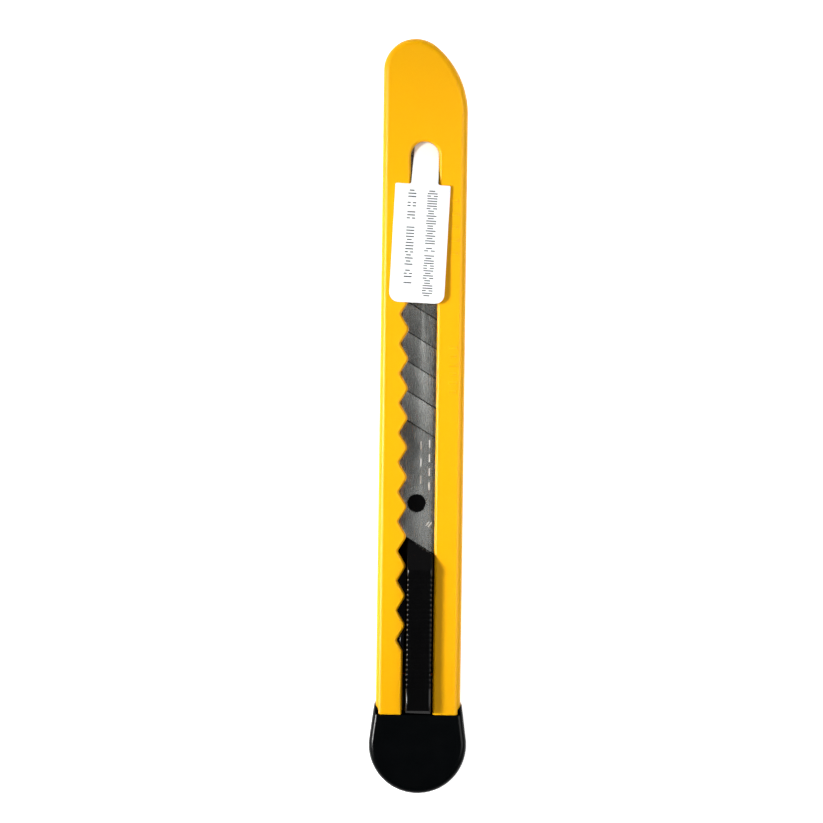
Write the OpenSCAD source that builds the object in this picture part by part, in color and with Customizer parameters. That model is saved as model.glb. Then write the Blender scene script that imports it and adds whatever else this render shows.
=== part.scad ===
// Slim snap-off utility knife. The knife lies on its back: +Z is the thumb side, +Y the nose.
// The origin is the centre of the space that the closed knife fills, on the surface it lies on.

/* [Casing] */
// Width of the casing
casing_w = 14.3; // [13:0.1:18]
// Length of the casing, without the end cap
casing_len = 114.2; // [95:0.1:138]
// Thickness of the casing
casing_t = 7; // [6.5:0.1:8.5]
// Wall on the thumb side
front_wall = 1.2; // [1:0.1:1.4]
// Wall on the side that it lies on
back_wall = 1.4; // [1:0.1:1.6]
// Radius of the nose on its high side
nose_small_r = 5.4; // [4.5:0.1:6.4]
// Radius of the nose on its sloping side
nose_large_r = 15; // [12.5:0.5:18]

/* [Slot] */
// Width of the slot that the thumb pad runs in
slot_w = 4.8; // [4:0.1:5.6]
// Distance from the slot's front end to the nose
slot_to_nose = 17.4; // [15:0.1:21]
// Length of one click, which is also one blade segment
click_len = 5; // [4.2:0.1:6]
// Distance from the casing's rear end to the first notch
first_notch = 12.6; // [11:0.1:15]
// Depth of the notches
notch_depth = 1.28; // [1:0.02:1.5]
// Radius at the bottom of a notch
notch_r = 0.45; // [0.3:0.05:0.5]
// Radius at the tip of a tooth between notches
tooth_r = 1; // [0.7:0.05:1.1]

/* [Blade] */
// Width of the blade
blade_w = 9; // [7.5:0.1:10.8]
// Thickness of the blade
blade_t = 0.38; // [0.3:0.02:0.5]
// Depth of the blade's top below the casing's face
blade_drop = 2.5; // [2.3:0.1:2.8]
// Length of the plain tail, from its end to the first score line
tail_len = 19.6; // [17:0.1:22]
// Slope of the score lines, across the blade
snap_angle = 31; // [25:1:35]
// Width of the ground edge
grind_w = 1.1; // [0.8:0.1:1.4]
// Radius of the hole in the tail
hole_r = 1.55; // [1.2:0.05:1.8]
// Distance from the tail's end to the hole
hole_from_tail = 7.1; // [6.5:0.1:8]
// Offset of the hole from the middle of the blade
hole_offset = -0.69; // [-1:0.01:0]

/* [Slider] */
// Distance from the casing's rear end to the blade's tail
tail_y = 28.6; // [27:0.1:32]
// Height of the thumb pad over the casing's face
pad_rise = 2; // [1.2:0.1:3]
// Length of the ramp at the front of the thumb pad
ramp_len = 4.4; // [3:0.1:5]
// Distance between two ribs of the thumb pad
rib_pitch = 0.84; // [0.7:0.02:1]
// Depth of the grooves between the ribs
rib_depth = 0.35; // [0.2:0.05:0.5]
// Thickness of the detent arm
arm_t = 0.9; // [0.7:0.05:1]
// Radius of the bump on the detent arm
bump_r = 1.9; // [1.5:0.05:2]

/* [End cap] */
// Distance that the end cap's disc reaches past the casing's side
cap_flare = 1.08; // [0.8:0.02:1.6]
// Distance from the casing's rear end to the middle of the end cap
cap_mid = 5.06; // [4:0.02:6]
// Amount that the end cap is lower than the casing, on each side
cap_inset = 0.2; // [0.1:0.05:0.4]
// Length of the end cap's cheeks, which lap the casing's sides
cheek_len = 1.8; // [1:0.1:3]
// Thickness of a cheek at its tip
cheek_tip = 0.2; // [0.15:0.05:0.4]
// Length of the plug that fills the casing's open end
plug_len = 6.5; // [5:0.1:7.5]

/* [Safety tab] */
// Thickness of the card
card_t = 0.45; // [0.3:0.05:0.5]
// Width of the card's plate
plate_w = 9.3; // [8:0.1:12]
// Length of the card's plate
plate_len = 20; // [16:0.1:24]
// Radius of the plate's two rear corners
plate_r = 1.6; // [1:0.1:2.5]
// Amount that the tongue narrows towards its tip, on each side
tongue_taper = 0.25; // [0.1:0.05:0.5]
// Distance from the plate to the slot's front end
neck_len = 7.3; // [6.8:0.1:8]
// Length of the tongue that lies under the casing's front wall
tuck_len = 1.2; // [0.8:0.1:1.4]
// Angle that the tongue dips into the slot
dip_angle = 16; // [15.5:0.1:16.5]
// Angle that the card lies askew
skew_angle = 2.5; // [0:0.1:2.6]
// Distance that the plate lies to the left of the tongue
plate_shift = 0.3; // [0:0.05:0.6]

/* [Hidden] */
$fn = 96;
eps = 0.01;

// Named clearances
blade_side_gap = 0.3;   // blade to the channel's side, each side
blade_slit_gap = 0.1;   // blade to the nose slit, above and below
slide_gap = 0.1;        // slider and plug to the channel, each side
pad_gap = 0.3;          // thumb pad to the slot's side, each side
bump_gap = 0.09;        // detent bump to the notch's flanks
tongue_gap = 0.13;      // card's tongue to the slot's side, each side
tail_gap = 0.2;         // blade's tail to the slider's step
pin_gap = 0.05;         // pin to the hole in the blade
cheek_gap = 0.05;       // end cap's cheek to the casing's side
card_gap = 0.02;        // card to the casing's face
plug_gap = 0.5;         // plug to the slider, end to end
flex_gap = 1.3;         // room that the detent arm bends into
carrier_gap = 0.8;      // slider's nose to the channel's front end, fully out

// Casing
half_w = casing_w / 2;
nose_small = [-half_w + nose_small_r, casing_len - nose_small_r];
nose_dx = nose_large_r + nose_small_r - casing_w;
nose_dy = sqrt(pow(nose_large_r - nose_small_r, 2) - pow(nose_dx, 2));
nose_large = nose_small - [nose_dx, nose_dy];
channel_w = blade_w + 2 * blade_side_gap;
channel_floor = back_wall;
channel_roof = casing_t - front_wall;
slot_end = casing_len - slot_to_nose;
slot_r = slot_w / 2;

// Blade
blade_top = casing_t - blade_drop;
blade_floor = blade_top - blade_t;
tip_margin = 4;
snap_count = floor((casing_len - tail_y - tail_len - tip_margin) / click_len);
blade_len = tail_len + snap_count * click_len;
score_depth = 0.1;

// Notches: each flank is a line that touches both the tooth's and the notch's round
notch_c = -slot_r - notch_depth + notch_r;
tooth_c = -slot_r - tooth_r;
flank_run = [click_len / 2, notch_c - tooth_c];
flank_angle = asin((notch_r + tooth_r) / norm(flank_run)) - atan2(flank_run.y, flank_run.x);

// Slider
pad_w = slot_w - 2 * pad_gap;
pad_front = tail_y + 0.3;
pad_back = 0.4;
pad_top = casing_t + pad_rise;
clicks = floor((slot_end - slot_r - pad_front) / click_len);
travel = clicks * click_len;
hole_y = tail_y + hole_from_tail;
carrier_front = hole_y + hole_r + 1.35;
carrier_w = blade_w - 1.6;
slider_w = channel_w - 2 * slide_gap;
slider_back = plug_len + plug_gap;
slider_floor = channel_floor + slide_gap;
slider_roof = channel_roof - slide_gap;
channel_end = carrier_front + travel + carrier_gap;
pin_head = 0.3;
rib_front = pad_front - ramp_len - 1;
rib_count = floor((rib_front - pad_back - 3.8) / rib_pitch) + 1;

// Detent arm
arm_x = -slider_w / 2 + 0.3;
arm_w = slider_w / 2 - pad_w / 2 - 0.5;
arm_root = first_notch + 11.4;
arm_tip = first_notch - 2.1;
bump_x = notch_c + (bump_r + bump_gap - notch_r) / cos(flank_angle);
bump_side = -pad_w / 2 - 0.2;
bump_top = casing_t - 0.25;

// End cap
cap_r = half_w + cap_flare;
cheek_x = half_w + cheek_gap;
cheek_out = cheek_x + cheek_tip;

// Safety tab
tongue_w = slot_w - 2 * tongue_gap;
tongue_tip_w = tongue_w - 2 * tongue_taper;
neck_y = slot_end - neck_len;
card_floor = casing_t + card_gap;
tongue_len = (neck_len + tuck_len) / cos(dip_angle);

// The end cap reaches furthest back and the casing furthest forward
middle_y = (casing_len - cap_mid - cap_r) / 2;

// Places its children, measured from the casing's rear end, about the origin
module from_rear_end() {
    translate([0, -middle_y, 0]) children();
}

// A block from one corner to the opposite one
module block(low, high) {
    translate(low) cube(high - low);
}

// Points of an arc about c, from angle a0 to a1
function arc(c, r, a0, a1, steps) =
    [for (i = [0 : steps]) c + r * [cos(a0 + (a1 - a0) * i / steps), sin(a0 + (a1 - a0) * i / steps)]];

// Outline of the casing seen from its face: the small arc runs smoothly into the large one
module casing_outline() {
    intersection() {
        translate([-half_w, 0]) square([casing_w, casing_len]);
        union() {
            translate([-half_w, 0]) square([casing_w, nose_large.y]);
            translate(nose_small) circle(r = nose_small_r);
            translate([-half_w, 0]) square([nose_small_r, nose_small.y]);
            intersection() {
                translate(nose_large) circle(r = nose_large_r);
                polygon([nose_large - [0, 1], nose_large + [2 * nose_large_r, -1],
                         nose_large + 3 * [nose_large_r, nose_dy], nose_large + 3 * [nose_dx, nose_dy]]);
            }
        }
    }
}

// One notch, from the middle of a tooth to the middle of the next, open towards +X
module notch_outline() {
    polygon(concat(
        [[0, -click_len / 2]],
        arc([tooth_c, -click_len / 2], tooth_r, 0, flank_angle, 6),
        arc([notch_c, 0], notch_r, 180 + flank_angle, 180 - flank_angle, 6),
        arc([tooth_c, click_len / 2], tooth_r, -flank_angle, 0, 6),
        [[0, click_len / 2]]
    ));
}

// Slot for the thumb pad, with a notch for each click and a wider lead-in at its open end
module slot_outline() {
    lead_in = 0.27;
    translate([-slot_r, -1]) square([slot_w, slot_end - slot_r + 1]);
    translate([0, slot_end - slot_r]) circle(r = slot_r);
    translate([-slot_r - lead_in, -1]) square([slot_r, first_notch - click_len / 2 + 1.6]);
    for (i = [0 : clicks])
        translate([0, first_notch + i * click_len]) notch_outline();
}

// One-piece moulded casing: a flat tube, open at the rear, with a blade slit through the nose
module casing() {
    color("gold") from_rear_end() difference() {
        linear_extrude(casing_t) casing_outline();
        block([-channel_w / 2, -1, channel_floor], [channel_w / 2, channel_end, channel_roof]);
        block([-channel_w / 2, channel_end - 1, blade_floor - blade_slit_gap],
              [channel_w / 2, casing_len + 1, blade_top + blade_slit_gap]);
        translate([0, 0, channel_roof - 1]) linear_extrude(front_wall + 2) slot_outline();
    }
}

// Everything in front of a line across the knife with the slope of the score lines
module ahead_of(y, height) {
    reach = 4 * blade_w;
    translate([0, y, -1]) linear_extrude(height + 2)
        polygon([[-reach, reach * tan(snap_angle)], [reach, -reach * tan(snap_angle)],
                 [reach, 3 * casing_len], [-reach, 3 * casing_len]]);
}

// Snap-off blade, one strip of steel: the edge is on the left and score lines mark the segments
module blade() {
    mid = blade_t / 2;
    color("slategray") from_rear_end() difference() {
        translate([0, 0, blade_floor]) intersection() {
            translate([0, tail_y + blade_len + blade_w, 0]) rotate([90, 0, 0])
                linear_extrude(blade_len + 2 * blade_w)
                    polygon([[-blade_w / 2, mid], [-blade_w / 2 + grind_w, 0], [blade_w / 2, 0],
                             [blade_w / 2, blade_t], [-blade_w / 2 + grind_w, blade_t]]);
            difference() {
                ahead_of(tail_y, blade_t);
                translate([0, 0, -1]) ahead_of(tail_y + blade_len, blade_t + 2);
            }
        }
        for (i = [0 : snap_count - 1])
            translate([0, tail_y + tail_len + i * click_len, blade_top - score_depth])
                rotate([0, 0, -snap_angle]) rotate([45, 0, 0])
                    translate([-blade_w, 0, 0]) cube([2 * blade_w, 1, 1]);
        translate([hole_offset, hole_y, 0]) cylinder(r = hole_r, h = casing_t);
    }
}

// Side view of the thumb pad, with Y to the right: a ramp in front and a plain rear end
module pad_profile() {
    polygon([[pad_back, channel_roof], [pad_front + 1.5, channel_roof], [pad_front, casing_t - 0.6],
             [pad_front - ramp_len, pad_top], [pad_back + 0.5, pad_top],
             [pad_back, pad_top - 0.5]]);
}

// Ribbed thumb pad
module thumb_pad() {
    difference() {
        translate([-pad_w / 2, 0, 0]) rotate([90, 0, 90]) linear_extrude(pad_w) pad_profile();
        ahead_of(tail_y - tail_gap, 2 * casing_t);
        for (i = [0 : rib_count - 1])
            translate([-pad_w, rib_front - (i + 0.5) * rib_pitch, pad_top - rib_depth])
                cube([2 * pad_w, rib_pitch / 2, 2]);
    }
}

// Slider: a block that runs in the channel, a carrier under the blade's tail and the thumb pad
module slider() {
    color("black") from_rear_end() {
        difference() {
            union() {
                block([-slider_w / 2, slider_back, slider_floor],
                      [slider_w / 2, tail_y + blade_w, slider_roof]);
                block([-pad_w / 2, slider_back, slider_roof - eps],
                      [pad_w / 2, tail_y + blade_w, channel_roof + eps]);
            }
            ahead_of(tail_y - tail_gap, casing_t);
            block([-slider_w, slider_back - 1, slider_roof - arm_t - flex_gap],
                  [arm_x + arm_w + 0.2, arm_root, casing_t]);
        }
        thumb_pad();
        intersection() {
            union() {
                block([-carrier_w / 2, tail_y - blade_w, slider_floor],
                      [carrier_w / 2, carrier_front - 2, blade_floor]);
                translate([0, carrier_front - 2, slider_floor]) linear_extrude(blade_floor - slider_floor)
                    polygon([[-carrier_w / 2, -eps], [carrier_w / 2, -eps],
                             [carrier_w / 2 - 2, 2], [2 - carrier_w / 2, 2]]);
            }
            ahead_of(tail_y - tail_gap - 1, casing_t);
        }
        translate([hole_offset, hole_y, blade_floor - 1])
            cylinder(r = hole_r - pin_gap, h = blade_t + 1 + pin_head);
    }
}

// Springy arm of the slider: its bump drops into one notch of the slot after another
module detent_arm() {
    arm_roof = slider_roof;
    color("dimgray") from_rear_end() {
        block([arm_x, arm_tip, arm_roof - arm_t], [arm_x + arm_w, arm_root, arm_roof]);
        intersection() {
            translate([bump_x, first_notch, arm_roof - arm_t])
                cylinder(r = bump_r, h = bump_top - arm_roof + arm_t);
            block([arm_x, arm_tip, 0], [bump_side, first_notch + bump_r + 1, 2 * casing_t]);
        }
    }
}

// Outline of the end cap: a disc with straight flanks that run to the tips of the cheeks
module cap_outline() {
    tip = [cheek_out, cheek_len];
    from_c = tip + [0, cap_mid];
    touch = atan2(from_c.y, from_c.x) - acos(cap_r / norm(from_c));
    side = [cap_r * cos(touch), cap_r * sin(touch) - cap_mid];
    translate([0, -cap_mid]) circle(r = cap_r);
    polygon([side, tip, [-tip.x, tip.y], [-side.x, side.y], [0, -cap_mid]]);
}

// End cap with two cheeks round the casing's sides and a plug in its open end
module end_cap() {
    color("black") from_rear_end() {
        difference() {
            translate([0, 0, cap_inset]) linear_extrude(casing_t - 2 * cap_inset) cap_outline();
            block([-cheek_x, 0, -1], [cheek_x, cap_r, casing_t + 1]);
        }
        block([-slider_w / 2, -1, slider_floor], [slider_w / 2, plug_len, slider_roof]);
    }
}

// Tongue of the card: it dips in a straight line, so that it slides out along its own length
module tongue() {
    translate([0, 0, card_floor]) rotate([-dip_angle, 0, 0]) translate([0, -0.4, 0])
        linear_extrude(card_t)
            polygon([[-tongue_w / 2, 0], [tongue_w / 2, 0],
                     [tongue_tip_w / 2, tongue_len - 0.6], [tongue_tip_w / 2 - 0.8, tongue_len + 0.4],
                     [0.8 - tongue_tip_w / 2, tongue_len + 0.4], [-tongue_tip_w / 2, tongue_len - 0.6]]);
}

// Card that locks the new knife: a plate on the casing and a tongue tucked under the slot's end
module safety_tab() {
    corner = plate_w / 2 - plate_r;
    color("white") from_rear_end() translate([0, neck_y, 0]) rotate([0, 0, -skew_angle]) {
        translate([-plate_shift, -plate_len, card_floor]) linear_extrude(card_t) {
            translate([-plate_w / 2, plate_r]) square([plate_w, plate_len - plate_r]);
            translate([-corner, 0]) square([2 * corner, plate_len]);
            for (side = [-1, 1])
                translate([side * corner, plate_r]) circle(r = plate_r);
        }
        tongue();
    }
}

casing();
end_cap();
slider();
detent_arm();
blade();
safety_tab();
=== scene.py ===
"""Slim snap-off utility knife, new and locked by its card, lying thumb side up on a pale table.

Lengths are in millimetres, measured as on the knife itself: across it from its middle, along it
from the casing's rear end, and up from the face it lies on.
"""

import logging
import math
import random
from collections.abc import Callable, Iterable
from dataclasses import dataclass
from enum import Enum

import bmesh
import bpy
from mathutils import Matrix, Vector


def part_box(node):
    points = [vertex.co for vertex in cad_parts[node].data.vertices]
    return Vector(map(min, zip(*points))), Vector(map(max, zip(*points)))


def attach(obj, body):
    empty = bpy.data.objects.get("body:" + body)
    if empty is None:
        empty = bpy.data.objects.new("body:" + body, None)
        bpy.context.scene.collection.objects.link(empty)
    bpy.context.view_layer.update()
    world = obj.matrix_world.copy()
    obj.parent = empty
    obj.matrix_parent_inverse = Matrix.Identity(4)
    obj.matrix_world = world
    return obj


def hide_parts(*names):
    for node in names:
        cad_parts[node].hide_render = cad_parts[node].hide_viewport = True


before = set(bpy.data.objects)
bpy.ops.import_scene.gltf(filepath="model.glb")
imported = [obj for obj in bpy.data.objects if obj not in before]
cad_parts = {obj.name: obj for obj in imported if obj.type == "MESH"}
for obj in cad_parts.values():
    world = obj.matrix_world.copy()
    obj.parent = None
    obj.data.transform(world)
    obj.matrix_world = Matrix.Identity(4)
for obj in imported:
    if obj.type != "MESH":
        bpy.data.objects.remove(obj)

MM = 0.001
REAR_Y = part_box("casing")[0].y
FACE_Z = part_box("casing")[1].z / MM
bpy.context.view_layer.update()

# Millimetres: how far off a level an edge may lie and still count as on it, how far a cutting tool
# stands out of the solid that it cuts, and how deep a thin mark is set into its surface
NEAR = 0.01
OVERSHOOT = 1.0
SUNK = 0.01
# Smallest angle in degrees at which an edge counts as sharp
SHARP = 30
# Values that most of a noise lies between
NOISE_LOW, NOISE_HIGH = 0.3, 0.7

log = logging.getLogger("knife")

Triple = tuple[float, float, float]
Socket = bpy.types.NodeSocket
EdgeTest = Callable[[Vector], bool]


class Body(Enum):
    """Bodies of the frame that pieces move with."""

    CASING = "casing_body"
    SLIDER = "slider_body"
    CAP = "cap_body"
    TAB = "tab_body"


def place(x: float, y: float, z: float) -> Vector:
    """Point in metres, for a place on the knife in millimetres."""
    return Vector((x * MM, REAR_Y + y * MM, z * MM))


# Materials


class Shader:
    """Node tree of one material, built round a Principled BSDF."""

    def __init__(self, name: str, **sockets: float | tuple[float, ...]) -> None:
        """Start a material.

        Args:
            name: Name of the material.
            **sockets: Values of the shader's sockets, with underscores for spaces.
        """
        self.material = bpy.data.materials.new(name)
        self.material.use_nodes = True
        self.tree = self.material.node_tree
        self.bsdf = self.tree.nodes["Principled BSDF"]
        for socket, value in sockets.items():
            self.bsdf.inputs[socket.replace("_", " ")].default_value = value

    def node(
        self,
        kind: str,
        links: dict[str | int, object] | None = None,
        **settings: object,
    ) -> bpy.types.Node:
        """Add a node.

        Args:
            kind: Type of the node, without its ShaderNode prefix.
            links: Value, or output socket, for each of its inputs, by name or number.
            **settings: Properties of the node.

        Returns:
            The new node.
        """
        made = self.tree.nodes.new("ShaderNode" + kind)
        for name, value in settings.items():
            setattr(made, name, value)
        for name, value in (links or {}).items():
            if isinstance(value, Socket):
                self.tree.links.new(value, made.inputs[name])
            else:
                made.inputs[name].default_value = value
        return made

    def noise(self, size_mm: float, detail: float, stretch: Triple = (1, 1, 1)) -> Socket:
        """Make a grey noise on the knife.

        Args:
            size_mm: Rough size of its features in millimetres.
            detail: Number of finer layers in it.
            stretch: Scale along the axes, so that it can run in a direction.

        Returns:
            Its value.
        """
        coordinates = self.node("TexCoord").outputs["Object"]
        spot = self.node("Mapping", {"Vector": coordinates, "Scale": stretch}).outputs[0]
        links = {"Vector": spot, "Scale": 1 / (size_mm * MM), "Detail": detail}
        return self.node("TexNoise", links).outputs["Fac"]

    def mean(self, first: Socket, second: Socket) -> Socket:
        """Value halfway between two others."""
        total = self.node("Math", {0: first, 1: second}, operation="ADD").outputs[0]
        return self.node("Math", {0: total, 1: 0.5}, operation="MULTIPLY").outputs[0]

    def ramp(self, value: Socket, *stops: tuple[float, Triple]) -> Socket:
        """Turn a value into a colour.

        Args:
            value: The value.
            *stops: Position and colour of the two ends of the blend.

        Returns:
            The colour.
        """
        made = self.node("ValToRGB", {"Fac": value})
        for end, (position, colour) in zip(made.color_ramp.elements, stops):
            end.position, end.color = position, (*colour, 1)
        return made.outputs["Color"]

    def spread(self, value: Socket, low: float, high: float) -> Socket:
        """Value of a noise, stretched to the range low to high."""
        links = {"Value": value, 1: NOISE_LOW, 2: NOISE_HIGH, 3: low, 4: high}
        return self.node("MapRange", links).outputs[0]

    def set(self, socket: str, value: Socket) -> None:
        """Drive one of the shader's sockets."""
        self.tree.links.new(value, self.bsdf.inputs[socket])

    def bumps(self, *layers: tuple[Socket, float, float]) -> None:
        """Stack layers of bumps on the surface.

        Args:
            *layers: Height, strength and distance in millimetres of each layer.
        """
        normal = None
        for height, strength, depth in layers:
            links = {"Height": height, "Strength": strength, "Distance": depth * MM}
            if normal is not None:
                links["Normal"] = normal
            normal = self.node("Bump", links).outputs["Normal"]
        self.set("Normal", normal)


@dataclass(frozen=True)
class MouldedPlastic:
    """Injection-moulded plastic: a fine spark-eroded grain, flow marks and a little depth of colour."""

    name: str
    colour: Triple
    deep_colour: Triple
    roughness: float
    gloss: float
    grain_mm: float = 0.09
    grain_depth: float = 0.005
    wave_mm: float = 6.0
    wave_depth: float = 0.012
    flow_mm: float = 9.0
    speckle_mm: float = 0.5
    patch_mm: float = 2.5
    depth_of_colour: float = 0.0
    reach_of_colour: Triple = (0.0012, 0.0006, 0.0001)

    def build(self) -> bpy.types.Material:
        """Make the material.

        Returns:
            The material.
        """
        shader = Shader(
            self.name,
            Specular_IOR_Level=self.gloss,
            Subsurface_Weight=self.depth_of_colour,
            Subsurface_Radius=self.reach_of_colour,
            Subsurface_Scale=1.0,
        )
        flow = shader.noise(self.flow_mm, 2, (1, 0.3, 1))
        tint = shader.mean(flow, shader.noise(self.speckle_mm, 4))
        colour = shader.ramp(tint, (0.25, self.deep_colour), (0.75, self.colour))
        shader.set("Base Color", colour)
        patches = shader.noise(self.patch_mm, 2)
        rough = shader.spread(patches, self.roughness - 0.02, self.roughness + 0.03)
        shader.set("Roughness", rough)
        shader.bumps(
            (shader.noise(self.grain_mm, 2), 0.5, self.grain_depth),
            (shader.noise(self.wave_mm, 1, (1, 0.4, 1)), 0.25, self.wave_depth),
        )
        return shader.material


@dataclass(frozen=True)
class GroundSteel:
    """Cold-rolled strip steel, ground along its length, under a thin film of oil."""

    name: str
    colour: Triple
    stain_colour: Triple
    roughness: float
    line_mm: float = 0.07
    line_depth: float = 0.001
    stain_mm: float = 5.0
    streak_mm: float = 0.25

    def build(self) -> bpy.types.Material:
        """Make the material.

        Returns:
            The material.
        """
        shader = Shader(
            self.name,
            Metallic=1.0,
            Anisotropic=0.35,
            Coat_Weight=0.06,
            Coat_Roughness=0.25,
        )
        lines = shader.noise(self.line_mm, 5, (1, 0.02, 1))
        tint = shader.mean(lines, shader.noise(self.stain_mm, 3, (1, 0.5, 1)))
        colour = shader.ramp(tint, (0.35, self.stain_colour), (0.65, self.colour))
        shader.set("Base Color", colour)
        streaks = shader.noise(self.streak_mm, 4, (1, 0.05, 1))
        rough = shader.spread(streaks, self.roughness - 0.005, self.roughness + 0.008)
        shader.set("Roughness", rough)
        shader.bumps((lines, 0.012, self.line_depth))
        return shader.material


@dataclass(frozen=True)
class CoatedCard:
    """Smooth white card: short fibres under the coating and faint clouding."""

    name: str
    colour: Triple
    cloud_colour: Triple
    cloud_mm: float = 2.5
    cloud_depth: float = 0.03
    fibre_mm: float = 0.05
    fibre_depth: float = 0.006
    roughness: tuple[float, float] = (0.48, 0.6)

    def build(self) -> bpy.types.Material:
        """Make the material.

        Returns:
            The material.
        """
        shader = Shader(self.name, Specular_IOR_Level=0.35, Sheen_Weight=0.05)
        clouds = shader.noise(self.cloud_mm, 5)
        fibres = shader.noise(self.fibre_mm, 3, (1, 0.25, 1))
        colour = shader.ramp(clouds, (0.35, self.cloud_colour), (0.6, self.colour))
        shader.set("Base Color", colour)
        shader.set("Roughness", shader.spread(fibres, *self.roughness))
        shader.bumps((fibres, 0.4, self.fibre_depth), (clouds, 0.2, self.cloud_depth))
        return shader.material


@dataclass(frozen=True)
class Ink:
    """Thin print or etching, worn unevenly."""

    name: str
    colour: Triple
    thin_colour: Triple
    wear_mm: float = 0.12

    def build(self) -> bpy.types.Material:
        """Make the material.

        Returns:
            The material.
        """
        shader = Shader(self.name, Roughness=0.55)
        wear = shader.noise(self.wear_mm, 3)
        shader.set("Base Color", shader.ramp(wear, (0.4, self.colour), (0.7, self.thin_colour)))
        return shader.material


YELLOW = MouldedPlastic(
    "yellow_abs",
    colour=(0.93, 0.455, 0.001),
    deep_colour=(0.91, 0.42, 0.001),
    roughness=0.3,
    gloss=0.18,
    depth_of_colour=0.05,
)
BLACK = MouldedPlastic(
    "black_abs",
    colour=(0.001, 0.001, 0.0012),
    deep_colour=(0.0008, 0.0008, 0.001),
    roughness=0.14,
    gloss=0.35,
    grain_depth=0.002,
)
CAP_BLACK = MouldedPlastic(
    "soft_black_abs",
    colour=(0.001, 0.0016, 0.002),
    deep_colour=(0.0008, 0.0012, 0.0015),
    roughness=0.2,
    gloss=0.14,
    grain_mm=0.12,
    grain_depth=0.002,
    wave_depth=0.005,
)
STEEL = GroundSteel("ground_steel", (0.49, 0.5, 0.475), (0.45, 0.465, 0.455), 0.27)
# Near-black steel for the sloped walls of the score grooves: painted shade in the grooves, not a darker
# steel
GROOVE_SHADE_STEEL = GroundSteel("groove_shade_steel", (0.09, 0.09, 0.085), (0.05, 0.05, 0.05), 0.4)
CARD = CoatedCard("coated_card", (0.93, 0.94, 0.95), (0.88, 0.895, 0.91))
PRINT = Ink("grey_print", (0.02, 0.023, 0.028), (0.07, 0.08, 0.09))
ETCH = Ink("pale_etching", (0.75, 0.75, 0.72), (0.5, 0.5, 0.49))


# Mesh work


class Outline:
    """A flat closed line on the knife's XY plane, drawn with bmesh operators, that becomes a solid."""

    def __init__(self, x: float, y: float) -> None:
        """Start the line at a point, in millimetres."""
        self.bm = bmesh.new()
        self.last = self.bm.verts.new((x, y, 0))

    def line_to(self, x: float, y: float) -> "Outline":
        """Draw a straight stretch.

        Args:
            x: End of it across the knife.
            y: End of it along the knife.

        Returns:
            This outline.
        """
        made = bmesh.ops.extrude_vert_indiv(self.bm, verts=[self.last])
        self.last = made["verts"][0]
        self.last.co = (x, y, 0)
        return self

    def arc(self, x: float, y: float, turn: float, steps: int) -> "Outline":
        """Draw an arc about a centre.

        Args:
            x: Centre across the knife.
            y: Centre along the knife.
            turn: Angle turned in degrees, positive anticlockwise.
            steps: Number of short edges.

        Returns:
            This outline.
        """
        made = bmesh.ops.spin(
            self.bm,
            geom=[self.last],
            cent=(x, y, 0),
            axis=(0, 0, 1),
            angle=math.radians(turn),
            steps=steps,
            use_merge=False,
        )
        self.last = next(part for part in made["geom_last"] if isinstance(part, bmesh.types.BMVert))
        return self

    def solid(self, low: float, high: float) -> bmesh.types.BMesh:
        """Close the line, fill it and raise it into a solid.

        Args:
            low: Height of its underside.
            high: Height of its top.

        Returns:
            The solid, in millimetres.
        """
        bm = self.bm
        bmesh.ops.remove_doubles(bm, verts=bm.verts[:], dist=1e-4)
        loose = [v for v in bm.verts if len(v.link_edges) == 1]
        if len(loose) == 2:
            bm.edges.new(loose)
        bmesh.ops.contextual_create(bm, geom=bm.edges[:])
        raised = bmesh.ops.extrude_face_region(bm, geom=bm.faces[:])
        tops = [part for part in raised["geom"] if isinstance(part, bmesh.types.BMVert)]
        bmesh.ops.translate(bm, verts=bm.verts[:], vec=(0, 0, low))
        bmesh.ops.translate(bm, verts=tops, vec=(0, 0, high - low))
        bmesh.ops.recalc_face_normals(bm, faces=bm.faces[:])
        return bm


def bar(low: Triple, high: Triple) -> bmesh.types.BMesh:
    """Make a block.

    Args:
        low: Its lowest corner in millimetres.
        high: Its highest corner in millimetres.

    Returns:
        The block.
    """
    bm = bmesh.new()
    bmesh.ops.create_cube(bm, size=1)
    corner, size = Vector(low), Vector(high) - Vector(low)
    bmesh.ops.translate(bm, verts=bm.verts[:], vec=(0.5, 0.5, 0.5))
    bmesh.ops.scale(bm, verts=bm.verts[:], vec=size)
    bmesh.ops.translate(bm, verts=bm.verts[:], vec=corner)
    return bm


def flat_copy(mesh: bpy.types.Mesh, reach: float, flat: float) -> bmesh.types.BMesh:
    """Copy a mesh back to millimetres on the knife, with its triangles joined into flat faces.

    Args:
        mesh: Mesh in metres, in its place.
        reach: Distance in millimetres within which points are merged.
        flat: Angle in degrees up to which neighbouring faces are joined.

    Returns:
        The copy.
    """
    bm = bmesh.new()
    bm.from_mesh(mesh)
    bmesh.ops.translate(bm, verts=bm.verts[:], vec=(0, -REAR_Y, 0))
    bmesh.ops.scale(bm, verts=bm.verts[:], vec=(1 / MM, 1 / MM, 1 / MM))
    bmesh.ops.remove_doubles(bm, verts=bm.verts[:], dist=reach)
    limit = math.radians(flat)
    bmesh.ops.dissolve_limit(bm, angle_limit=limit, verts=bm.verts[:], edges=bm.edges[:])
    return bm


def cad_copy(node: str) -> bmesh.types.BMesh:
    """Copy of a CAD node in millimetres on the knife."""
    return flat_copy(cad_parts[node].data, 1e-3, 0.6)


def join(bm: bmesh.types.BMesh, *others: bmesh.types.BMesh) -> bmesh.types.BMesh:
    """Add other meshes to a mesh.

    Args:
        bm: The mesh.
        *others: Meshes that are added to it, and freed.

    Returns:
        The mesh.
    """
    for other in others:
        mesh = bpy.data.meshes.new("joined")
        other.to_mesh(mesh)
        other.free()
        bm.from_mesh(mesh)
        bpy.data.meshes.remove(mesh)
    return bm


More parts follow.
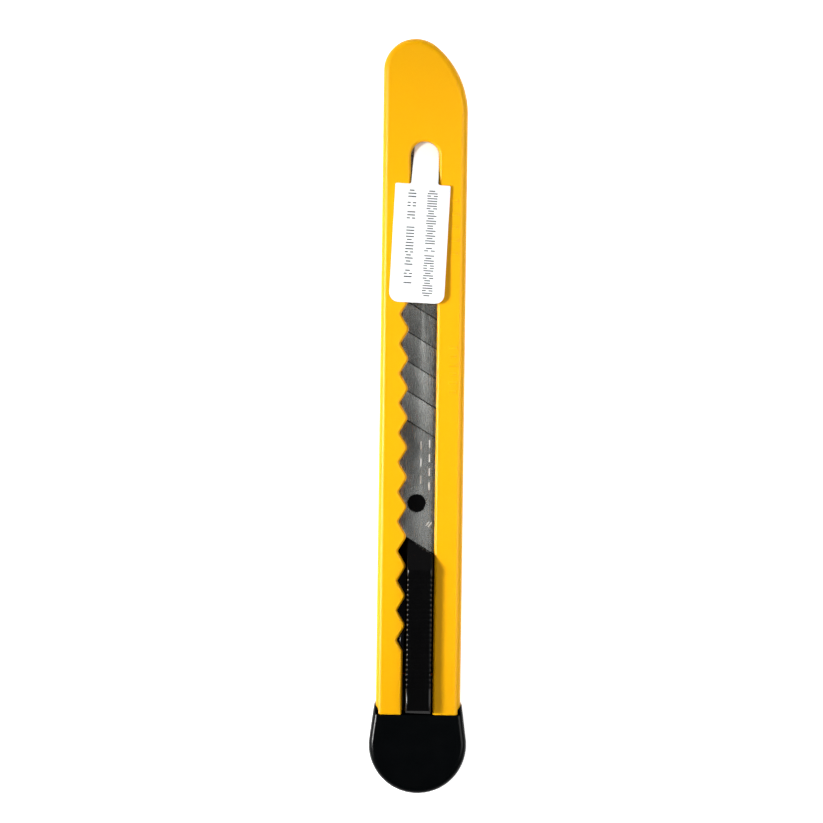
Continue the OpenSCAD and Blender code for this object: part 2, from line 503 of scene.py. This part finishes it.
def round_edges(bm: bmesh.types.BMesh, width: float, steps: int, test: EdgeTest) -> None:
    """Round the sharp convex edges that pass a test.

    Args:
        bm: Mesh in millimetres.
        width: Width of the rounding.
        steps: Number of strips across it.
        test: Says whether an edge with its middle at that point is rounded.
    """
    chosen = [
        edge
        for edge in bm.edges
        if len(edge.link_faces) == 2
        and edge.calc_face_angle_signed() > math.radians(SHARP)
        and test((edge.verts[0].co + edge.verts[1].co) / 2)
    ]
    bmesh.ops.bevel(
        bm,
        geom=chosen,
        offset=width,
        offset_type="OFFSET",
        segments=steps,
        profile=0.5,
        affect="EDGES",
        clamp_overlap=False,
        material=-1,
        miter_outer="ARC",
    )


def to_mesh(bm: bmesh.types.BMesh, name: str) -> bpy.types.Object:
    """Turn a bmesh into an object at the origin, with the mesh in its place.

    Args:
        bm: Mesh in millimetres on the knife. It is freed.
        name: Name of the object and its mesh.

    Returns:
        The object.
    """
    bmesh.ops.scale(bm, verts=bm.verts[:], vec=(MM, MM, MM))
    bmesh.ops.translate(bm, verts=bm.verts[:], vec=(0, REAR_Y, 0))
    mesh = bpy.data.meshes.new(name)
    bm.to_mesh(mesh)
    bm.free()
    piece = bpy.data.objects.new(name, mesh)
    bpy.context.scene.collection.objects.link(piece)
    return piece


def cut(bm: bmesh.types.BMesh, tools: Iterable[bmesh.types.BMesh]) -> bmesh.types.BMesh:
    """Cut the tools out of a solid, one after another.

    Args:
        bm: Solid in millimetres.
        tools: Solids that are taken away from it.

    Returns:
        What is left, in millimetres.
    """
    blank = to_mesh(bm, "blank")
    cutters = [to_mesh(tool, "cutter") for tool in tools]
    for cutter in cutters:
        modifier = blank.modifiers.new("cut", "BOOLEAN")
        modifier.operation, modifier.solver, modifier.object = "DIFFERENCE", "EXACT", cutter
    bpy.context.view_layer.update()
    solved = blank.evaluated_get(bpy.context.evaluated_depsgraph_get())
    left = flat_copy(bpy.data.meshes.new_from_object(solved), 1e-4, 0.2)
    for spare in (blank, *cutters):
        bpy.data.meshes.remove(spare.data)
    return left


def fit(
    bm: bmesh.types.BMesh,
    name: str,
    body: Body,
    finish: bpy.types.Material,
    replaces: Iterable[str] = (),
    crease: float = 40,
) -> bpy.types.Object:
    """Turn a mesh into a finished piece of the knife.

    Args:
        bm: Mesh in millimetres on the knife.
        name: Name of the piece.
        body: Body that it moves with.
        finish: Its material.
        replaces: CAD nodes that it stands for.
        crease: Edges sharper than this angle, in degrees, stay crisp.

    Returns:
        The piece.
    """
    piece = to_mesh(bm, name)
    piece.data.materials.append(finish)
    piece.data.shade_smooth()
    piece.data.set_sharp_from_angle(angle=math.radians(crease))
    even = piece.modifiers.new("even_normals", "WEIGHTED_NORMAL")
    even.keep_sharp = True
    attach(piece, body.value)
    if replaces:
        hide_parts(*replaces)
    log.info("%s: %d faces", name, len(piece.data.polygons))
    return piece


# Sub-assemblies


@dataclass(frozen=True)
class Series:
    """Equal marks in a line along the knife: the first one's place, their number and their pitch."""

    start: float
    count: int
    pitch: float

    def places(self) -> list[float]:
        """Places of the marks along the knife."""
        return [self.start + step * self.pitch for step in range(self.count)]


@dataclass
class Casing:
    """Yellow one-piece casing: a flat tube with a notched slot in its face and a slit in its nose."""

    width: float = 14.3
    length: float = 114.2
    small_r: float = 5.4
    large_r: float = 15.0
    front_wall: float = 1.2
    back_wall: float = 1.4
    channel_w: float = 9.6
    channel_end: float = 104.4
    slit_low: float = 4.02
    slit_high: float = 4.6
    slot_w: float = 4.8
    slot_end: float = 96.8
    lead_in: float = 0.27
    click: float = 5.0
    clicks: int = 13
    first_notch: float = 12.6
    notch_depth: float = 1.28
    notch_r: float = 0.45
    tooth_r: float = 1.0
    edge_r: float = 1.1
    rim_r: float = 0.5
    end_r: float = 0.3
    mark_x: float = 5.15
    mark_len: float = 1.4
    mark_cut: float = 1.3
    mark_w: float = 0.45
    mark_rise: float = 0.08
    mark_root: float = 0.2
    mark_r: float = 0.045
    mark_groups: tuple[Series, ...] = (Series(78.0, 5, 2.2), Series(54.6, 6, 1.5))

    def outline(self) -> Outline:
        """Draw the casing: its nose's small arc runs smoothly into the large one.

        Returns:
            The outline.
        """
        half = self.width / 2
        small = Vector((-half + self.small_r, self.length - self.small_r))
        across = self.large_r + self.small_r - self.width
        along = math.sqrt((self.large_r - self.small_r) ** 2 - across**2)
        large = small - Vector((across, along))
        lean = math.degrees(math.atan2(along, across))
        line = Outline(-half, 0).line_to(half, 0).line_to(half, large.y)
        line.arc(large.x, large.y, lean, 28).arc(small.x, small.y, 180 - lean, 40)
        return line.line_to(-half, 0)

    def slot(self) -> Outline:
        """Draw the slot: straight on the right, round in front and notched on the left.

        Returns:
            The outline.
        """
        half, pitch, behind = self.slot_w / 2, self.click / 2, -2 * OVERSHOOT
        notch_c = -half - self.notch_depth + self.notch_r
        tooth_c = -half - self.tooth_r
        run = Vector((pitch, notch_c - tooth_c))
        tangent = math.asin((self.notch_r + self.tooth_r) / run.length)
        flank = math.degrees(tangent - math.atan2(run.y, run.x))
        last = self.first_notch + self.clicks * self.click
        line = Outline(half, behind).line_to(half, self.slot_end - half)
        line.arc(0, self.slot_end - half, 180, 24).line_to(-half, last + pitch)
        lean = math.radians(flank)
        aside, along = math.cos(lean), math.sin(lean)
        for notch in range(self.clicks, -1, -1):
            middle = self.first_notch + notch * self.click
            line.arc(tooth_c, middle + pitch, -flank, 6)
            line.line_to(notch_c - self.notch_r * aside, middle + self.notch_r * along)
            line.arc(notch_c, middle, 2 * flank, 6)
            if notch:
                tooth_y = middle - pitch
                line.line_to(tooth_c + self.tooth_r * aside, tooth_y + self.tooth_r * along)
                line.arc(tooth_c, tooth_y, -flank, 6)
        edge = -half - self.lead_in
        past = (tooth_c + self.tooth_r * aside - edge) / math.tan(lean)
        line.line_to(edge, self.first_notch - pitch + self.tooth_r * along + past)
        return line.line_to(edge, behind)

    def marks(self) -> list[bmesh.types.BMesh]:
        """Make two groups of low plain bars, moulded across the land beside the slot.

        Returns:
            The bars, every other one a little shorter.
        """
        made = []
        for group in self.mark_groups:
            for row, middle in enumerate(group.places()):
                reach = self.mark_len / (2 if row % 2 else 2 * self.mark_cut)
                low = (self.mark_x - reach, middle - self.mark_w / 2, FACE_Z - self.mark_root)
                high = (self.mark_x + reach, middle + self.mark_w / 2, FACE_Z + self.mark_rise)
                mark = bar(low, high)
                round_edges(mark, self.mark_r, 2, lambda at: at.z > FACE_Z)
                made.append(mark)
        return made

    def build(self) -> None:
        """Make the casing."""
        shell = self.outline().solid(0, FACE_Z)
        top = FACE_Z - NEAR
        round_edges(shell, self.edge_r, 6, lambda at: at.y > NEAR and not NEAR <= at.z <= top)
        half = self.channel_w / 2
        roof = FACE_Z - self.front_wall
        slit_start, slit_end = self.channel_end - OVERSHOOT, self.length + OVERSHOOT
        channel = bar((-half, -2 * OVERSHOOT, self.back_wall), (half, self.channel_end, roof))
        slit = bar((-half, slit_start, self.slit_low), (half, slit_end, self.slit_high))
        slot = self.slot().solid(roof - OVERSHOOT, FACE_Z + OVERSHOOT)
        shell = cut(shell, (channel, slit, slot))
        inner, front = self.slot_w / 2 + self.notch_depth + 0.1, self.slot_end + 0.1

        def rim(at: Vector) -> bool:
            """Whether an edge lies on the slot's rim."""
            return at.z > top and abs(at.x) < inner and NEAR < at.y < front

        round_edges(shell, self.rim_r, 5, rim)
        round_edges(shell, self.end_r, 3, lambda at: at.y < NEAR)
        join(shell, *self.marks())
        fit(shell, "casing_shell", Body.CASING, YELLOW.build(), ["casing"])


@dataclass
class EndCap:
    """Round black cap with two cheeks that lap the casing's sides and a plug in its open end."""

    radius: float = 8.23
    middle: float = 5.06
    inset: float = 0.2
    cheek_x: float = 7.2
    cheek_tip: float = 0.2
    cheek_len: float = 1.8
    plug_w: float = 9.4
    plug_len: float = 6.5
    plug_root: float = 1.0
    plug_low: float = 1.5
    plug_high: float = 5.7
    plug_r: float = 0.4
    edge_r: float = 1.0

    def outline(self) -> Outline:
        """Draw the cap: the disc's straight flanks run to the tips of the cheeks.

        Returns:
            The outline.
        """
        tip = Vector((self.cheek_x + self.cheek_tip, self.cheek_len))
        reach = tip + Vector((0, self.middle))
        touch = math.atan2(reach.y, reach.x) - math.acos(self.radius / reach.length)
        side = Vector((self.radius * math.cos(touch), self.radius * math.sin(touch) - self.middle))
        line = Outline(tip.x, tip.y).line_to(side.x, side.y)
        line.arc(0, -self.middle, -180 - 2 * math.degrees(touch), 72)
        line.line_to(-tip.x, tip.y)
        line.line_to(-self.cheek_x, self.cheek_len).line_to(-self.cheek_x, 0)
        line.line_to(-self.plug_w / 2, 0).line_to(self.plug_w / 2, 0)
        return line.line_to(self.cheek_x, 0).line_to(self.cheek_x, self.cheek_len)

    def build(self) -> None:
        """Make the cap."""
        low, high = self.inset, FACE_Z - self.inset
        disc = self.outline().solid(low, high)
        cheek_side = self.cheek_x + self.cheek_tip / 4

        def outside(at: Vector) -> bool:
            """Whether an edge runs round the top or bottom of the disc and the cheeks' outsides."""
            level = at.z < low + NEAR or at.z > high - NEAR
            return level and (at.y < -NEAR or abs(at.x) > cheek_side)

        round_edges(disc, self.edge_r, 7, outside)
        half = self.plug_w / 2
        plug = bar((-half, -self.plug_root, self.plug_low), (half, self.plug_len, self.plug_high))
        round_edges(plug, self.plug_r, 3, lambda at: at.y > self.plug_len - NEAR)
        join(disc, plug)
        fit(disc, "end_cap_shell", Body.CAP, CAP_BLACK.build(), ["end_cap"])


@dataclass
class Slider:
    """Black slider that carries the blade, with the springy arm that clicks into the notches."""

    pad_w: float = 4.2
    pad_top: float = 9.0
    ramp_start: float = 24.0
    rib_depth: float = 0.35
    end_r: float = 0.32
    edge_r: float = 0.06
    arm_edge_r: float = 0.25
    top_depth: float = 0.3

    def build(self) -> None:
        """Make the slider and its arm."""
        black = BLACK.build()
        body = cad_copy("slider")
        side, foot = self.pad_w / 2 - NEAR, FACE_Z - self.top_depth
        top, groove = self.pad_top - NEAR, self.pad_top - self.rib_depth + NEAR

        def edge_of_pad(at: Vector) -> bool:
            """Whether an edge lies on top of the pad, or on its ramp above the casing's face."""
            return at.z > groove or (at.y > self.ramp_start and at.z > foot)

        round_edges(body, self.end_r, 6, lambda at: abs(at.x) > side and at.z > top)
        round_edges(body, self.edge_r, 2, edge_of_pad)
        fit(body, "slider_moulding", Body.SLIDER, black, ["slider"])
        arm = cad_copy("detent_arm")
        round_edges(arm, self.arm_edge_r, 4, lambda at: at.z > foot)
        fit(arm, "detent_spring_arm", Body.SLIDER, black, ["detent_arm"])


@dataclass
class Blade:
    """Snap-off blade with its scored segments, and a small plain etching on its tail."""

    top: float = 4.5
    groove_tilt: tuple[float, float] = (0.5, 0.9)
    etch_w: float = 0.2
    etch_len: float = 1.35
    etch_rise: float = 0.006
    columns: tuple[tuple[float, Series], ...] = (
        (-0.15, Series(39.0, 3, 2.9)),
        (1.3, Series(37.9, 4, 2.4)),
    )
    slants: tuple[tuple[float, float], ...] = ((0.85, 31.9), (1.25, 31.75))
    slant_w: float = 0.16
    slant_len: float = 0.95
    slant_turn: float = -38

    def etching(self) -> bmesh.types.BMesh:
        """Make two staggered columns of short dashes, and a pair of slanted ones behind the pin.

        Returns:
            The dashes, in one mesh.
        """
        bm = bmesh.new()
        low, high = self.top - SUNK, self.top + self.etch_rise
        for x, column in self.columns:
            for y in column.places():
                join(bm, bar((x, y, low), (x + self.etch_w, y + self.etch_len, high)))
        turned = Matrix.Rotation(math.radians(self.slant_turn), 4, "Z")
        for x, y in self.slants:
            slant = bar((0, 0, low), (self.slant_w, self.slant_len, high))
            laid = Matrix.Translation((x, y, 0)) @ turned
            bmesh.ops.transform(slant, matrix=laid, verts=slant.verts[:])
            join(bm, slant)
        return bm

    def build(self) -> None:
        """Make the blade and its etching."""
        steel = cad_copy("blade")
        least, most = self.groove_tilt
        # Faces that slope like the score grooves' walls take the second, near-black steel: painted
        # shade in the grooves
        for face in steel.faces:
            face.material_index = int(least < face.normal.z < most)
        blade = fit(steel, "snap_off_blade", Body.SLIDER, STEEL.build(), ["blade"], 20)
        blade.data.materials.append(GROOVE_SHADE_STEEL.build())
        fit(self.etching(), "blade_etching", Body.SLIDER, ETCH.build())


class PrintMark(Enum):
    """Plain bars that a printed row is made of: where each begins and ends, in shares of its height."""

    WHOLE = ((-0.42, 0.42),)
    SHORT = ((-0.3, 0.2),)
    SPLIT = ((-0.45, -0.12), (0.1, 0.45))


@dataclass(frozen=True)
class PrintRow:
    """One row of plain bars across the card, grouped like words."""

    middle: float
    height: float
    pitch: float
    stroke: float
    end: float
    gap_chance: float


@dataclass
class SafetyTab:
    """White card that locks the new knife, with two rows of plain printed bars."""

    skew: float = 2.5
    dip: float = 16.0
    thick: float = 0.45
    neck_y: float = 89.5
    plate_shift: float = 0.3
    plate_w: float = 9.3
    plate_len: float = 20.0
    plate_r: float = 1.6
    front_r: float = 0.25
    tongue_w: float = 4.54
    tip_w: float = 4.04
    tip_r: float = 0.8
    tongue_len: float = 8.84
    neck_r: float = 0.35
    bend_len: float = 1.4
    bend_back: float = 0.2
    gap: float = 0.02
    edge_r: float = 0.06
    rear_lift: float = 0.3
    side_lift: float = 0.22
    print_rise: float = 0.006
    print_start: float = -1.0
    print_seed: int = 5
    bend_cuts: tuple[float, float, int] = (-0.4, 0.25, 9)
    plate_cuts: tuple[float, float, int] = (-1.25, -1.25, 15)
    side_cuts: tuple[float, float, int] = (-3.6, 1.2, 7)
    rows: tuple[PrintRow, ...] = (
        PrintRow(-2.0, 1.6, 0.52, 0.2, 2.9, 0.14),
        PrintRow(1.42, 2.0, 0.42, 0.18, 1.2, 0.08),
    )

    def outline(self) -> Outline:
        """Draw the flat card, about the middle of its neck.

        Returns:
            The outline.
        """
        tongue, tip = self.tongue_w / 2, self.tip_w / 2
        left, right = -self.plate_shift - self.plate_w / 2, self.plate_w / 2 - self.plate_shift
        rear, r, f = -self.plate_len, self.plate_r, self.front_r
        line = Outline(left + r, rear).line_to(right - r, rear).arc(right - r, rear + r, 90, 10)
        line.line_to(right, -f).arc(right - f, -f, 90, 4)
        line.line_to(tongue + self.neck_r, 0).arc(tongue + self.neck_r, self.neck_r, -90, 5)
        front = self.tongue_len - self.tip_r
        line.line_to(tip, front).arc(tip - self.tip_r, front, 90, 8)
        line.line_to(self.tip_r - tip, self.tongue_len).arc(self.tip_r - tip, front, 90, 8)
        line.line_to(-tongue, self.neck_r).arc(-tongue - self.neck_r, self.neck_r, -90, 5)
        line.line_to(left + f, 0).arc(left + f, -f, 90, 4)
        return line.line_to(left, rear + r).arc(left + r, rear + r, 90, 10)

    def lay(self, bm: bmesh.types.BMesh) -> bmesh.types.BMesh:
        """Lay something drawn on the flat card onto the knife: bent, a little lifted and in line.

        Args:
            bm: Mesh in millimetres on the flat card.

        Returns:
            The mesh, in millimetres on the knife.
        """
        slope = math.tan(math.radians(self.dip))
        for vert in bm.verts:
            past = max(vert.co.y + self.bend_back, 0.0)
            bent = slope * past * past / (2 * self.bend_len)
            vert.co.z -= bent if past < self.bend_len else slope * (past - self.bend_len / 2)
            back = max(-vert.co.y, 0.0) / self.plate_len
            across = max(vert.co.x + self.plate_w / 2, 0.0) / self.plate_w
            vert.co.z += self.rear_lift * back**2 + self.side_lift * back * across**2
        turned = Matrix.Rotation(math.radians(-self.skew), 4, "Z")
        settled = Matrix.Translation((0, self.neck_y, FACE_Z + self.gap))
        bmesh.ops.transform(bm, matrix=settled @ turned, verts=bm.verts[:])
        return bm

    def card(self) -> bmesh.types.BMesh:
        """Make the card, still flat, with cuts across it where it bends.

        Returns:
            The card.
        """
        bm = self.outline().solid(0, self.thick)
        round_edges(bm, self.edge_r, 2, lambda at: True)
        along, across = Vector((0, 1, 0)), Vector((1, 0, 0))
        cuts = ((self.bend_cuts, along), (self.plate_cuts, along), (self.side_cuts, across))
        for (start, pitch, count), way in cuts:
            for step in range(count):
                parts = [*bm.verts, *bm.edges, *bm.faces]
                middle = way * (start + pitch * step)
                bmesh.ops.bisect_plane(bm, geom=parts, plane_co=middle, plane_no=way)
        return bm

    def printing(self) -> bmesh.types.BMesh:
        """Make rows of short plain bars, spaced like lines of print.

        Returns:
            The bars, in one mesh on the flat card.
        """
        bm = bmesh.new()
        chance = random.Random(self.print_seed)
        kinds = (PrintMark.WHOLE, PrintMark.WHOLE, PrintMark.SHORT, PrintMark.SPLIT)
        sunk, proud = self.thick - SUNK, self.thick + self.print_rise
        for row in self.rows:
            y = self.print_start
            while y > row.end - self.plate_len:
                kind = chance.choice(kinds)
                if chance.random() > row.gap_chance:
                    for near, far in kind.value:
                        low = (row.middle + near * row.height, y - row.stroke, sunk)
                        high = (row.middle + far * row.height, y, proud)
                        join(bm, bar(low, high))
                y -= row.pitch
        return bm

    def build(self) -> None:
        """Make the card and its print."""
        fit(self.lay(self.card()), "card_tab", Body.TAB, CARD.build(), ["safety_tab"])
        fit(self.lay(self.printing()), "card_print", Body.TAB, PRINT.build())


# Studio


@dataclass(frozen=True)
class Softbox:
    """Square soft light: its place and side in metres, and its power in watts."""

    name: str
    at: Triple
    size: float
    power: float


@dataclass
class Studio:
    """Pale table, soft light from the left and above, and a camera straight above the knife."""

    distance: float = 0.6
    sensor: float = 36.0
    view_width: float = 0.1388
    aim: tuple[float, float] = (-1.74, 51.2)
    roll: float = 0.755
    nearest: float = 0.01
    farthest: float = 20.0
    floor_size: float = 4.0
    floor_drop: float = 0.0001
    floor_grey: float = 0.93
    floor_glow: float = 0.7
    ceiling: float = 0.06
    walls: float = 0.42
    wall_top: float = 0.15
    ceiling_edge: float = 0.7
    softboxes: tuple[Softbox, ...] = (
        Softbox("left_softbox", (-0.36, -0.02, 0.25), 0.3, 0.3),
        Softbox("front_softbox", (0.25, 0.0, 0.35), 0.25, 0.65),
        Softbox("overhead_softbox", (0.22, 0.08, 0.85), 0.15, 0.48),
    )
    spot_at: Triple = (-0.32, 0.0, 0.27)
    spot_power: float = 23.0
    spot_radius: float = 0.08
    spot_angle: float = 19
    spot_blend: float = 1.0

    def camera(self) -> None:
        """Make the camera that the picture is taken with."""
        data = bpy.data.cameras.new("camera")
        data.sensor_width = self.sensor
        data.lens = self.sensor * (self.distance - FACE_Z * MM) / self.view_width
        data.clip_start, data.clip_end = self.nearest, self.farthest
        camera = bpy.data.objects.new("camera", data)
        camera.location = place(*self.aim, 0) + Vector((0, 0, self.distance))
        camera.rotation_euler = (0, 0, math.radians(self.roll))
        bpy.context.scene.collection.objects.link(camera)
        bpy.context.scene.camera = camera

    def floor(self) -> None:
        """Make the table top."""
        bm = bmesh.new()
        bmesh.ops.create_grid(bm, x_segments=1, y_segments=1, size=self.floor_size / 2)
        mesh = bpy.data.meshes.new("floor")
        bm.to_mesh(mesh)
        bm.free()
        shader = Shader(
            "pale_floor",
            Roughness=0.9,
            Specular_IOR_Level=0.1,
            Base_Color=(self.floor_grey, self.floor_grey, self.floor_grey, 1),
            Emission_Color=(1, 1, 1, 1),
            Emission_Strength=self.floor_glow,
        )
        mesh.materials.append(shader.material)
        floor = bpy.data.objects.new("floor", mesh)
        floor.location.z = -self.floor_drop
        bpy.context.scene.collection.objects.link(floor)

    def hang(self, data: bpy.types.Light, at: Triple) -> bpy.types.Object:
        """Hang a lamp so that it faces the knife.

        Args:
            data: The lamp.
            at: Its place in metres.

        Returns:
            The lamp's object.
        """
        lamp = bpy.data.objects.new(data.name, data)
        lamp.location = at
        lamp.rotation_euler = (-Vector(at)).to_track_quat("-Z", "Y").to_euler()
        bpy.context.scene.collection.objects.link(lamp)
        return lamp

    def lights(self) -> None:
        """Make the soft lights, and the spotlight that is brightest on the middle of the knife."""
        for box in self.softboxes:
            data = bpy.data.lights.new(box.name, "AREA")
            data.size, data.energy = box.size, box.power
            self.hang(data, box.at).visible_camera = False
        data = bpy.data.lights.new("spotlight", "SPOT")
        data.energy, data.shadow_soft_size = self.spot_power, self.spot_radius
        data.spot_size, data.spot_blend = math.radians(self.spot_angle), self.spot_blend
        self.hang(data, self.spot_at)

    def room(self) -> None:
        """Make the room: pale walls under a darker ceiling."""
        world = bpy.data.worlds.new("studio")
        world.use_nodes = True
        tree = world.node_tree
        backdrop = tree.nodes["Background"]
        backdrop.inputs["Color"].default_value = (1, 1, 1, 1)
        places = tree.nodes.new("ShaderNodeTexCoord")
        split = tree.nodes.new("ShaderNodeSeparateXYZ")
        shade = tree.nodes.new("ShaderNodeMapRange")
        shade.interpolation_type = "SMOOTHSTEP"
        heights = {"From Min": self.wall_top, "From Max": self.ceiling_edge}
        for socket, value in {**heights, "To Min": self.walls, "To Max": self.ceiling}.items():
            shade.inputs[socket].default_value = value
        tree.links.new(places.outputs["Generated"], split.inputs[0])
        tree.links.new(split.outputs["Z"], shade.inputs["Value"])
        tree.links.new(shade.outputs[0], backdrop.inputs["Strength"])
        bpy.context.scene.world = world

    def build(self) -> None:
        """Set up the camera, table and light."""
        self.camera()
        self.floor()
        self.lights()
        self.room()
        bpy.context.scene.view_settings.view_transform = "Standard"


def main() -> None:
    """Build the studio and every sub-assembly of the knife, in order."""
    logging.basicConfig(level=logging.INFO, format="%(name)s: %(message)s")
    Studio().build()
    for assembly in (Casing(), EndCap(), Slider(), Blade(), SafetyTab()):
        assembly.build()


if __name__ == "__main__":
    main()
